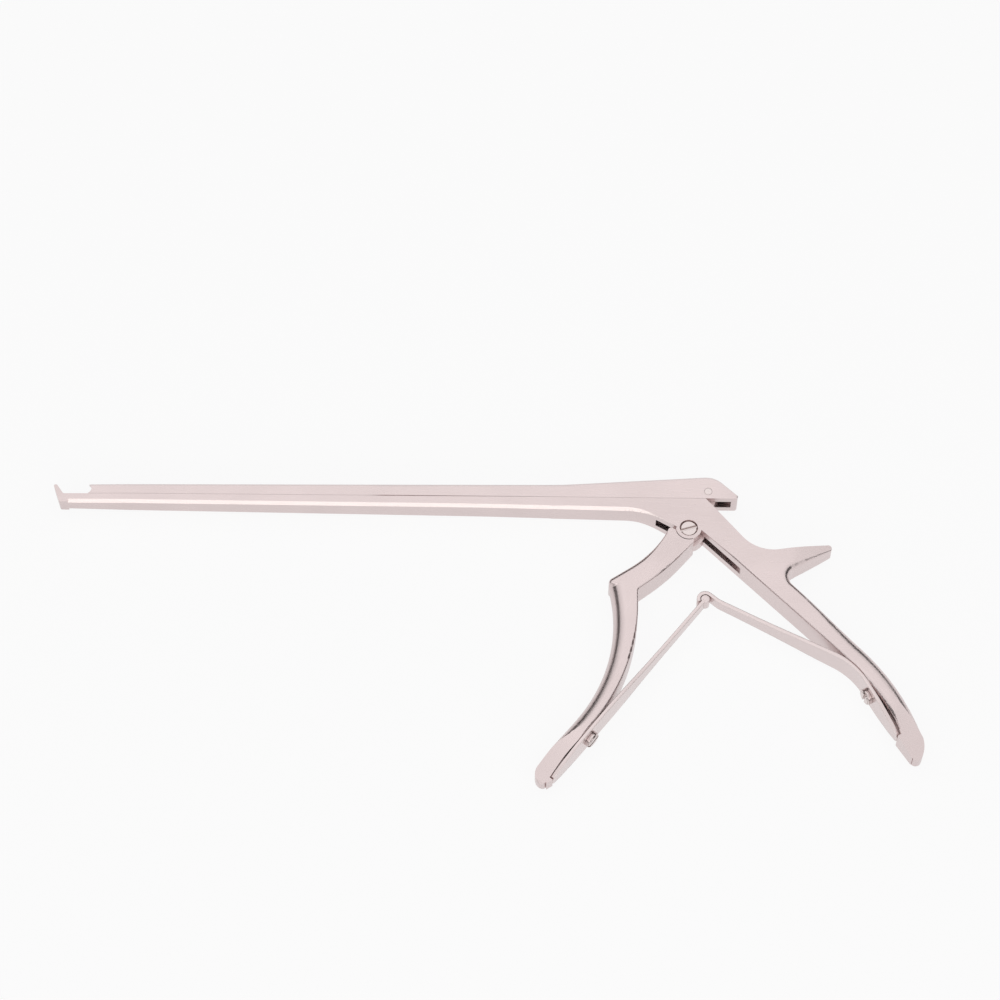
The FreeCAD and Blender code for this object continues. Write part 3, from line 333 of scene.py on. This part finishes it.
# %% Cut a bevel along a path, on both sides of the tool
def cut_bevel(piece, points, flats, cheeks):
    """flats and cheeks: the bevel and the half thickness of the piece at each point, in mm."""
    for name, side in (("bevel_on_top_side", 1), ("bevel_on_table_side", -1)):
        verts = []
        for index, point in enumerate(points):
            before, after = points[max(index - 1, 0)], points[min(index + 1, len(points) - 1)]
            way = (after - before).normalized()
            out = Vector((way.y, -way.x))
            flat = flats[index]
            # The bar's long side is the plane of the bevel, and reaches past both faces.
            for across, rise in ((flat, -2 * flat), (-2 * flat, flat), (flat, flat)):
                spot = point + out * across
                height = MIDDLE + side * (cheeks[index] + rise)
                verts.append((spot.x * MM, spot.y * MM, height * MM))
        faces = [(0, 1, 2), tuple(len(verts) - 3 + i for i in (2, 1, 0))]
        for ring in range(len(points) - 1):
            for i in range(3):
                a, b = ring * 3 + i, ring * 3 + (i + 1) % 3
                faces.append((a, a + 3, b + 3, b))
        cut_away(piece, name, verts, faces)


# %% The bevels of the frame and the slide
# Two runs of the edge with the rounded corner between them, and the bevel's width in mm. The
# bevel fades between two places along X, down to a small share of its width.
LOWER_EDGE = [(-43.0, 6.6, 0), (-14.1, 6.1, 22.0), (-3.6, 0.1, 0)]
LOWER_BEVEL = 0.95
FADE_FROM = -15.0
FADE_TO = -4.5
FADE_LEAST = 0.2
# Half the thickness of the shaft's root at the seam, and what it gains with each mm below it.
SEAM_HALF = 3.95
CHEEK_SLOPE = 0.0468
# The slide's own upper bevel has a short gap here, which this run closes.
UPPER_GAP = [(-91.2, 14.56), (-94.4, 14.53)]
UPPER_BEVEL = 1.1
UPPER_CHEEKS = [3.95, 3.93]


def cut_lower_bevel(piece):
    points = rounded_path(LOWER_EDGE)
    fades = [min(1.0, max(FADE_LEAST, (FADE_TO - p.x) / (FADE_TO - FADE_FROM))) for p in points]
    flats = [LOWER_BEVEL * fade for fade in fades]
    cheeks = [SEAM_HALF + (SEAM - p.y) * CHEEK_SLOPE for p in points]
    cut_bevel(piece, points, flats, cheeks)


def join_upper_bevel(piece):
    ends = [Vector(end) for end in UPPER_GAP]
    cut_bevel(piece, ends, [UPPER_BEVEL] * len(ends), UPPER_CHEEKS)


# %% Give the lower bevel its painted highlight
# The bevel lies below this height, its faces lean between these two, and slivers stay out.
BEVEL_TOP = 8.5
BEVEL_LEAN = (0.5, 0.88)
SLIVER = 0.2 * MM * MM


def on_lower_bevel(face):
    """Whether a face leans at about 45 degrees along the shaft's lower edge."""
    place = face.center / MM
    low, high = BEVEL_LEAN
    leans = face.normal.y < -low and low < abs(face.normal.z) < high
    return leans and place.x < FADE_TO and place.y < BEVEL_TOP and face.area > SLIVER


# Painted highlight: the faces of the lower bevel get the lighter steel.
def paint_lower_bevel_highlight(piece, steel):
    piece.data.materials.append(steel)
    slot = len(piece.data.materials) - 1
    bright = [face for face in piece.data.polygons if on_lower_bevel(face)]
    for face in bright:
        face.material_index = slot
    print("faces of polished bevel:", len(bright))


# %% [markdown]
# ## Spur and grip tips
# The spur that rests on the web of the hand thins towards its end like a finger, and the two
# grips end in polished tongues with no hard corner. The model has their outlines. On the
# copies, the spur is cut across at three places and drawn towards the middle plane from the
# first one on, and a cutter takes each hard corner of a tip down to an arc, as a belt would.

# %% Thin the spur
# Places along X in mm, with the share of the thickness that is left there.
SPUR_STATIONS = [(31.0, 1.0), (35.0, 0.92), (39.0, 0.76), (43.6, 0.56)]
# A point this little past a station still belongs to the run before it.
STATION_REACH = 0.5
# The spur lies above this height, and above the line on which x and y add up to the second.
SPUR_LOWEST = -16
SPUR_DIAGONAL = 20
# Reach of a cut and of a comparison, in metres and in mm.
CUT_REACH = 1e-7
NEAR = 0.01


def on_spur(place):
    start = SPUR_STATIONS[0][0] - NEAR
    return place.x > start and place.y > SPUR_LOWEST and place.x + place.y > SPUR_DIAGONAL


def spur_scale(x):
    for (x0, s0), (x1, s1) in zip(SPUR_STATIONS, SPUR_STATIONS[1:]):
        if x < x1 + STATION_REACH:
            return s0 + (s1 - s0) * max(0.0, (x - x0) / (x1 - x0))
    return SPUR_STATIONS[-1][1]


def thin_spur(piece):
    shape = bmesh.new()
    shape.from_mesh(piece.data)
    for x, _ in SPUR_STATIONS[:-1]:
        parts = list(shape.verts) + list(shape.edges) + list(shape.faces)
        bmesh.ops.bisect_plane(
            shape, geom=parts, dist=CUT_REACH, plane_co=(x * MM, 0, 0), plane_no=(1, 0, 0)
        )
    for vertex in shape.verts:
        place = vertex.co / MM
        if on_spur(place):
            vertex.co.z = (MIDDLE + (place.z - MIDDLE) * spur_scale(place.x)) * MM
    shape.to_mesh(piece.data)
    shape.free()


# %% Round the tips in plan
# Each corner is three points of the outline, x, y and radius in mm. The middle one is rounded.
TIP_CORNERS = {
    "frame": [
        [(62.1, -50.5, 0), (69.2, -71.0, 9.0), (66.2, -77.2, 0)],
        [(69.2, -71.0, 0), (66.2, -77.2, 1.6), (61.4, -67.9, 0)],
    ],
    "front_handle": [
        [(-33.2, -62.1, 0), (-47.2, -80.8, 3.0), (-44.2, -85.0, 0)],
        [(-47.2, -80.8, 0), (-44.2, -85.0, 1.6), (-38.1, -77.1, 0)],
    ],
}
# How far in mm the cutter stands out past the corner and past both sides, and the share by
# which its ends are drawn towards the corner.
PAST_CORNER = 1.5
PAST_SIDE = 1
WING_TUCK = 0.02


def round_tip(piece, corners):
    arc = rounded_path(corners)[1:-1]
    corner = Vector(corners[1][:2])
    middle = (arc[0] + arc[-1]) / 2
    outer = corner + (corner - middle).normalized() * PAST_CORNER
    wings = [end + (corner - end) * WING_TUCK + (outer - corner) for end in (arc[-1], arc[0])]
    plan = arc + [wings[0], outer, wings[1]]
    count = len(plan)
    verts = [
        (p.x * MM, p.y * MM, height * MM)
        for height in (-PAST_SIDE, 2 * MIDDLE + PAST_SIDE) for p in plan
    ]
    faces = [tuple(range(count)), tuple(range(count, 2 * count))]
    for i in range(count):
        j = (i + 1) % count
        faces.append((i, j, count + j, count + i))
    cut_away(piece, "rounded_tip", verts, faces)


# %% [markdown]
# ## The three forgings
# The frame, the slide and the front handle are the large pieces. Each gets its own grind, its
# cuts and its broken edges, in that order, because a broken edge has to follow the last cut.

# %% Finish the frame, the slide and the front handle
# Each piece's body, the width of its broken edges in mm, and its steel.
FORGINGS = {
    "frame": ("frame_body", 0.17, forged_steel),
    "slide": ("slide_body", 0.15, slide_steel),
    "front_handle": ("handle_body", 0.17, front_grip_steel),
}
for node, (body, edge_width, steel) in FORGINGS.items():
    piece = merged_copy(node, steel)
    if node == "frame":
        cut_lower_bevel(piece)
        paint_lower_bevel_highlight(piece, painted_highlight_steel)
        thin_spur(piece)
    if node == "slide":
        join_upper_bevel(piece)
    for corners in TIP_CORNERS.get(node, []):
        round_tip(piece, corners)
    break_edges(piece, edge_width, painted_dark_edge_steel)
    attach(piece, body)
    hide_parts(node)

# %% [markdown]
# ## Screws and pin
# The three slotted screws and the drive pin are turned on a lathe from bar. Their shapes are
# right as they come from the model, so they get only a finer broken edge and a brighter,
# turned finish.

# %% Finish the screws and the pin
SMALL_EDGE = 0.07
SMALL = {
    "pivot_screw": "frame_body",
    "rear_spring_screw": "frame_body",
    "front_spring_screw": "handle_body",
    "drive_pin": "slide_body",
}
for node, body in SMALL.items():
    piece = merged_copy(node, screw_steel)
    break_edges(piece, SMALL_EDGE, painted_dark_edge_steel)
    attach(piece, body)
    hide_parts(node)

# %% [markdown]
# ## Leaf springs
# Each spring is a strip of ground spring steel, 1.1 mm thick, screwed to a grip. It is 9 mm
# wide at the screw, narrows towards the middle of the tool and ends in a tongue at the grip's
# tip. The front one carries a bead that sits in a hook rolled from the end of the rear one.
# Such a strip follows a path, so Geometry Nodes sweep it: the corners of the path are points,
# the bend radius of each corner is the point's radius, and a curve of widths gives the plan.
# The strip comes out with even, short faces.

# %% Nodes that sweep a flat strip along a path
BEND_STEPS = 24
ACROSS_POINTS = 9


def sweep_strip(tree, sizes):
    """The strip, and how far along its length each point of it lies, from 0 to 1."""
    bend = add_node(tree, "GeometryNodeInputRadius")
    bent = add_node(
        tree, "GeometryNodeFilletCurve",
        {"Curve": sizes["Geometry"], "Radius": bend.outputs["Radius"], "Count": BEND_STEPS},
        mode="POLY",
    )
    even = add_node(
        tree, "GeometryNodeSetCurveRadius", {"Curve": bent.outputs["Curve"], "Radius": 1.0}
    )
    upright = add_node(
        tree, "GeometryNodeSetCurveNormal", {"Curve": even.outputs["Curve"]}, mode="Z_UP"
    )
    stepped = add_node(
        tree, "GeometryNodeResampleCurve",
        {"Curve": upright.outputs["Curve"], "Length": sizes["Step"]}, mode="LENGTH",
    )
    along = add_node(tree, "GeometryNodeSplineParameter")
    kept = add_node(
        tree, "GeometryNodeCaptureAttribute", {"Geometry": stepped.outputs["Curve"]}, domain="POINT"
    )
    kept.capture_items.new("FLOAT", "share")
    tree.links.new(along.outputs["Factor"], kept.inputs["share"])
    edge = add_node(tree, "ShaderNodeCombineXYZ", {"Y": sizes["Widest half"]})
    far_edge = add_node(
        tree, "ShaderNodeVectorMath",
        {0: edge.outputs["Vector"], 1: (-1, -1, -1)}, operation="MULTIPLY",
    )
    line = add_node(
        tree, "GeometryNodeCurvePrimitiveLine",
        {"Start": far_edge.outputs["Vector"], "End": edge.outputs["Vector"]},
    )
    across = add_node(
        tree, "GeometryNodeResampleCurve", {"Curve": line.outputs["Curve"], "Count": ACROSS_POINTS}
    )
    strip = add_node(
        tree, "GeometryNodeCurveToMesh",
        {"Curve": kept.outputs["Geometry"], "Profile Curve": across.outputs["Curve"]},
    )
    return strip.outputs["Mesh"], kept.outputs["share"]


# %% Nodes that narrow the strip to its plan
def narrow_strip(tree, sizes, strip, share, widths):
    plan = add_node(tree, "ShaderNodeFloatCurve", {"Value": share})
    curve = plan.mapping.curves[0]
    widest = max(half for _, half in widths)
    while len(curve.points) < len(widths):
        curve.points.new(0.5, 0.5)
    for point, (station, half) in zip(curve.points, widths):
        point.location = (station, half / widest)
        point.handle_type = "AUTO_CLAMPED"
    plan.mapping.update()
    place = add_node(tree, "GeometryNodeInputPosition")
    split = add_node(tree, "ShaderNodeSeparateXYZ", {"Vector": place.outputs["Position"]})
    off = add_node(
        tree, "ShaderNodeMath",
        {0: split.outputs["Z"], 1: sizes["Middle height"]}, operation="SUBTRACT",
    )
    narrowed = add_node(
        tree, "ShaderNodeMath",
        {0: off.outputs["Value"], 1: plan.outputs["Value"]}, operation="MULTIPLY",
    )
    back = add_node(
        tree, "ShaderNodeMath",
        {0: narrowed.outputs["Value"], 1: sizes["Middle height"]}, operation="ADD",
    )
    new_place = add_node(
        tree, "ShaderNodeCombineXYZ",
        {"X": split.outputs["X"], "Y": split.outputs["Y"], "Z": back.outputs["Value"]},
    )
    moved = add_node(
        tree, "GeometryNodeSetPosition",
        {"Geometry": strip, "Position": new_place.outputs["Vector"]},
    )
    return moved.outputs["Geometry"]


# %% The whole tree of a leaf
def leaf_tree(name, widths):
    """widths: (share of the length, half width in mm) from the tail to the bead or hook."""
    tree = bpy.data.node_groups.new(name, "GeometryNodeTree")
    face = tree.interface
    face.new_socket("Geometry", in_out="INPUT", socket_type="NodeSocketGeometry")
    for size in ("Step", "Middle height", "Widest half"):
        face.new_socket(size, in_out="INPUT", socket_type="NodeSocketFloat")
    face.new_socket("Steel", in_out="INPUT", socket_type="NodeSocketMaterial")
    face.new_socket("Geometry", in_out="OUTPUT", socket_type="NodeSocketGeometry")
    sizes = tree.nodes.new("NodeGroupInput").outputs
    strip, share = sweep_strip(tree, sizes)
    plain = narrow_strip(tree, sizes, strip, share, widths)
    real = add_node(tree, "GeometryNodeRealizeInstances", {"Geometry": plain})
    steel = add_node(
        tree, "GeometryNodeSetMaterial",
        {"Geometry": real.outputs["Geometry"], "Material": sizes["Steel"]},
    )
    end = tree.nodes.new("NodeGroupOutput")
    tree.links.new(steel.outputs["Geometry"], end.inputs["Geometry"])
    return tree


# %% A flat leaf along its path
LEAF_STEP = 0.5


def flat_leaf(name, corners, widths):
    """corners: (x, y, bend radius) in mm along the middle of the strip, from the tail on."""
    path = bpy.data.curves.new(name + "_path", "CURVE")
    path.dimensions = "3D"
    spline = path.splines.new("POLY")
    spline.points.add(len(corners) - 1)
    for point, (x, y, radius) in zip(spline.points, corners):
        point.co = (x * MM, y * MM, MIDDLE * MM, 1)
        point.radius = radius * MM
    holder = new_object(name + "_path", path)
    tree = leaf_tree(name + "_sweep", widths)
    sweep = holder.modifiers.new("sweep", "NODES")
    sweep.node_group = tree
    sizes = {
        "Step": LEAF_STEP * MM,
        "Middle height": MIDDLE * MM,
        "Widest half": max(half for _, half in widths) * MM,
        "Steel": leaf_steel,
    }
    for socket in tree.interface.items_tree:
        if socket.in_out == "INPUT" and socket.name in sizes:
            sweep[socket.identifier] = sizes[socket.name]
    graph = bpy.context.evaluated_depsgraph_get()
    mesh = bpy.data.meshes.new_from_object(holder.evaluated_get(graph))
    mesh.name = name + "_strip"
    bpy.data.objects.remove(holder)
    return new_object(mesh.name, mesh)


# %% A leaf with its thickness and its broken edges
LEAF_THICK = 1.1
LEAF_EDGE = 0.12
LEAF_SAME_POINT = 0.005 * MM


def sweep_leaf(name, corners, widths):
    leaf = flat_leaf(name, corners, widths)
    thick = leaf.modifiers.new("thickness", "SOLIDIFY")
    thick.thickness = LEAF_THICK * MM
    thick.offset = 0
    bake_modifiers(leaf)
    shape = bmesh.new()
    shape.from_mesh(leaf.data)
    bmesh.ops.remove_doubles(shape, verts=shape.verts, dist=LEAF_SAME_POINT)
    bmesh.ops.recalc_face_normals(shape, faces=shape.faces)
    shape.to_mesh(leaf.data)
    shape.free()
    leaf.data.shade_smooth()
    # The leaf's broken edges get the lighter steel, a painted highlight.
    break_edges(leaf, LEAF_EDGE, painted_highlight_steel)
    return leaf


# %% The plan of a leaf
ROOT_HALF = 4.5
WAIST_HALF = 2.6
END_HALF = 2.1
# The rounded end of the tail: places in mm from its tip, with the share of the root's width.
TAIL_END = [(0.0, 0.22), (0.4, 0.40), (1.4, 0.50)]
TAIL_MIDDLE = 0.83


def leaf_plan(tail, root, waist, total):
    """Half widths along a leaf, whose tail, root and waist end at these lengths in mm."""
    stations = [(place, ROOT_HALF * share) for place, share in TAIL_END]
    stations += [
        (tail * 0.5, ROOT_HALF * TAIL_MIDDLE), (tail, ROOT_HALF), (root, ROOT_HALF),
        (waist, WAIST_HALF), (total, END_HALF),
    ]
    return [(place / total, half) for place, half in stations]


# %% The front leaf and the rear leaf
FRONT_LONG = 75.2
FRONT_PATH = [(-41.38, -82.25, 0), (-28.04, -64.75, 200), (4.6, -23.15, 0)]
REAR_LONG = 78.6
REAR_PATH = [
    (61.13, -67.45, 0), (48.90, -44.93, 21), (8.88, -23.64, 4),
    (1.14, -17.15, 2.05), (2.87, -23.62, 0),
]
front_leaf = sweep_leaf(
    "front_leaf", FRONT_PATH, leaf_plan(tail=17, root=24, waist=52, total=FRONT_LONG)
)
rear_leaf = sweep_leaf(
    "rear_leaf", REAR_PATH, leaf_plan(tail=15, root=22, waist=58, total=REAR_LONG)
)

# %% The bead at the end of the front leaf
BEAD = (4.8, -22.9)
BEAD_RADIUS = 1.35
BEAD_LONG = 4.2
BEAD_ROUND = 0.15
RIM_ANGLE = 1.0


def add_bead(leaf):
    shape = bmesh.new()
    shape.from_mesh(leaf.data)
    made = bmesh.ops.create_cone(
        shape, cap_ends=True, segments=40, depth=BEAD_LONG * MM,
        radius1=BEAD_RADIUS * MM, radius2=BEAD_RADIUS * MM,
        matrix=Matrix.Translation(Vector((*BEAD, MIDDLE)) * MM),
    )
    rims = {e for v in made["verts"] for e in v.link_edges if e.calc_face_angle(0) > RIM_ANGLE}
    bmesh.ops.bevel(
        shape, geom=list(rims), offset=BEAD_ROUND * MM, segments=3, profile=0.5, affect="EDGES"
    )
    shape.to_mesh(leaf.data)
    shape.free()
    leaf.data.shade_smooth()


add_bead(front_leaf)
print("bead of", 2 * BEAD_RADIUS, "mm at", BEAD)

# %% [markdown]
# ## Placing the leaves
# A leaf is clamped by its screw and pushed at its far end, so it bends between the two, most
# over a stretch of about 20 mm past the screw. Here each strip only has its placement baked
# into its mesh, and its CAD piece is hidden; the strip is not blended between its bodies.

# %% Bake each leaf in place and hide its CAD piece
# Each leaf's CAD piece, its bodies, and the ends of the stretch that bends, in mm.
BENDS = (
    (front_leaf, "front_leaf_spring", "handle_body", "front_leaf_body", (-29.3, -66.4), (-17.8, -51.7)),
    (rear_leaf, "rear_leaf_spring", "frame_body", "rear_leaf_body", (51.9, -50.5), (36.4, -38.3)),
)
for leaf, node, near, far, start, stop in BENDS:
    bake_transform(leaf)
    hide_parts(node)

# %% [markdown]
# ## Table and light
# The tool lies on a plain white table under soft studio light. The camera and the steel's
# reflections see the table and the sky as white, so that the satin stays pale. Only the matt
# table gathers its light from a light grey sky. A large lamp overhead and a long strip in front
# add the rest, and the strip lights the wide bevel.

# %% The white table
TABLE_HALF = 3.0
TABLE_GLOW = 0.90


def white_table():
    mesh = bpy.data.meshes.new("table")
    a, b = -TABLE_HALF, TABLE_HALF
    mesh.from_pydata([(a, a, 0), (b, a, 0), (b, b, 0), (a, b, 0)], [], [(0, 1, 2, 3)])
    material = bpy.data.materials.new("white_table")
    material.use_nodes = True
    tree = material.node_tree
    shader = tree.nodes["Principled BSDF"]
    shader.inputs["Base Color"].default_value = linear("#FFFFFF")
    shader.inputs["Roughness"].default_value = 0.9
    path = add_node(tree, "ShaderNodeLightPath")
    glow = add_node(tree, "ShaderNodeEmission", {"Color": linear("#FFFFFF"), "Strength": 1.0})
    seen = add_node(
        tree, "ShaderNodeMath",
        {0: path.outputs["Is Camera Ray"], 1: path.outputs["Is Glossy Ray"]}, operation="MAXIMUM",
    )
    share = add_node(
        tree, "ShaderNodeMath", {0: seen.outputs["Value"], 1: TABLE_GLOW}, operation="MULTIPLY"
    )
    mix = add_node(
        tree, "ShaderNodeMixShader",
        {0: share.outputs["Value"], 1: shader.outputs["BSDF"], 2: glow.outputs["Emission"]},
    )
    tree.links.new(mix.outputs["Shader"], tree.nodes["Material Output"].inputs["Surface"])
    mesh.materials.append(material)
    return new_object("table", mesh)


table = white_table()
print("table of", 2 * TABLE_HALF, "m")

# %% The world
world = bpy.data.worlds.new("studio")
bpy.context.scene.world = world
world.use_nodes = True
tree = world.node_tree
path = add_node(tree, "ShaderNodeLightPath")
white = add_node(
    tree, "ShaderNodeMath",
    {0: path.outputs["Is Camera Ray"], 1: path.outputs["Is Glossy Ray"]}, operation="MAXIMUM",
)
sky = add_node(
    tree, "ShaderNodeMix",
    {0: white.outputs["Value"], 6: linear("#DAD9DA"), 7: linear("#FFFFFF")}, data_type="RGBA",
)
background = tree.nodes["Background"]
background.inputs["Strength"].default_value = 1.0
tree.links.new(sky.outputs[2], background.inputs["Color"])
print("world:", world.name)


# %% Two soft lamps
def soft_lamp(name, shape, place, aim, size_x, size_y, power):
    lamp = bpy.data.lights.new(name, "AREA")
    lamp.shape = shape
    lamp.size = size_x
    lamp.size_y = size_y
    lamp.energy = power
    holder = new_object(name, lamp)
    holder.location = place
    holder.rotation_euler = (Vector(aim) - Vector(place)).to_track_quat("-Z", "Y").to_euler()


AIM = (-0.05, 0, 0)
soft_lamp("overhead", "DISK", (-0.2, 0.5, 1.1), AIM, size_x=0.9, size_y=0.9, power=0.3)
soft_lamp("front", "RECTANGLE", (-0.05, -0.75, 0.42), AIM, size_x=1.6, size_y=0.22, power=0.7)

# %% [markdown]
# ## Dark cards
# Steel under an even white sky has no outline. A photographer stands black cards round the
# table, just out of view, and the steep sides and rounded edges of each piece mirror them as
# dark lines. These cards do the same. The camera doesn't see them and they cast no shadow.

# %% Four cards of black felt round the table
# Each card's name, where it stands, what it faces, its width and its height, all in metres.
CARDS = (
    ("card_behind", (-0.05, 0.75), (-0.05, 0), 1.6, 0.54),
    ("card_right", (0.75, 0.1), (0, 0.1), 1.2, 0.54),
    ("card_left", (-0.75, 0.1), (0, 0.1), 1.2, 0.42),
    ("card_front", (-0.05, -0.75), (-0.05, 0), 1.6, 0.14),
)


def dark_card(name, stand, faces, width, height):
    mesh = bpy.data.meshes.new(name)
    x, y = width / 2, height / 2
    place, aim = Vector((*stand, y)), Vector((*faces, y))
    turn = (aim - place).to_track_quat("Z", "Y")
    flat = [(-x, -y, 0), (x, -y, 0), (x, y, 0), (-x, y, 0)]
    mesh.from_pydata([turn @ Vector(corner) + place for corner in flat], [], [(0, 1, 2, 3)])
    felt = bpy.data.materials.new(name + "_felt")
    felt.use_nodes = True
    shader = felt.node_tree.nodes["Principled BSDF"]
    shader.inputs["Base Color"].default_value = linear("#1C1A1A")
    shader.inputs["Roughness"].default_value = 1.0
    mesh.materials.append(felt)
    card = new_object(name, mesh)
    card.visible_camera = False
    card.visible_shadow = False


for card in CARDS:
    dark_card(*card)
print("cards:", [card[0] for card in CARDS])

# %% [markdown]
# ## Camera
# The view looks down at the table at 62 degrees through a long lens a metre away, so the depth
# of the handles shows as a narrow band below each near edge.

# %% Camera
TARGET = Vector((-57.66, 11.60, 4.2)) * MM
AZIMUTH = math.radians(0.73)
ELEVATION = math.radians(62)
DISTANCE = 1.0
SENSOR = 36
# The picture is 1000 pixels wide, and a rule a metre long and a metre away would span 3250.
PICTURE_WIDTH = 1000
PIXELS_PER_METRE = 3250
away = Vector((
    math.sin(AZIMUTH) * math.cos(ELEVATION),
    -math.cos(AZIMUTH) * math.cos(ELEVATION),
    math.sin(ELEVATION),
))
lens = bpy.data.cameras.new("camera")
lens.sensor_width = SENSOR
lens.lens = PIXELS_PER_METRE / PICTURE_WIDTH * SENSOR
lens.clip_start = 0.01
camera = new_object("camera", lens)
camera.location = TARGET + away * DISTANCE
camera.rotation_euler = (-away).to_track_quat("-Z", "Y").to_euler()
bpy.context.scene.camera = camera
bpy.context.scene.view_settings.view_transform = "Standard"
print("camera at", [round(v, 3) for v in camera.location])
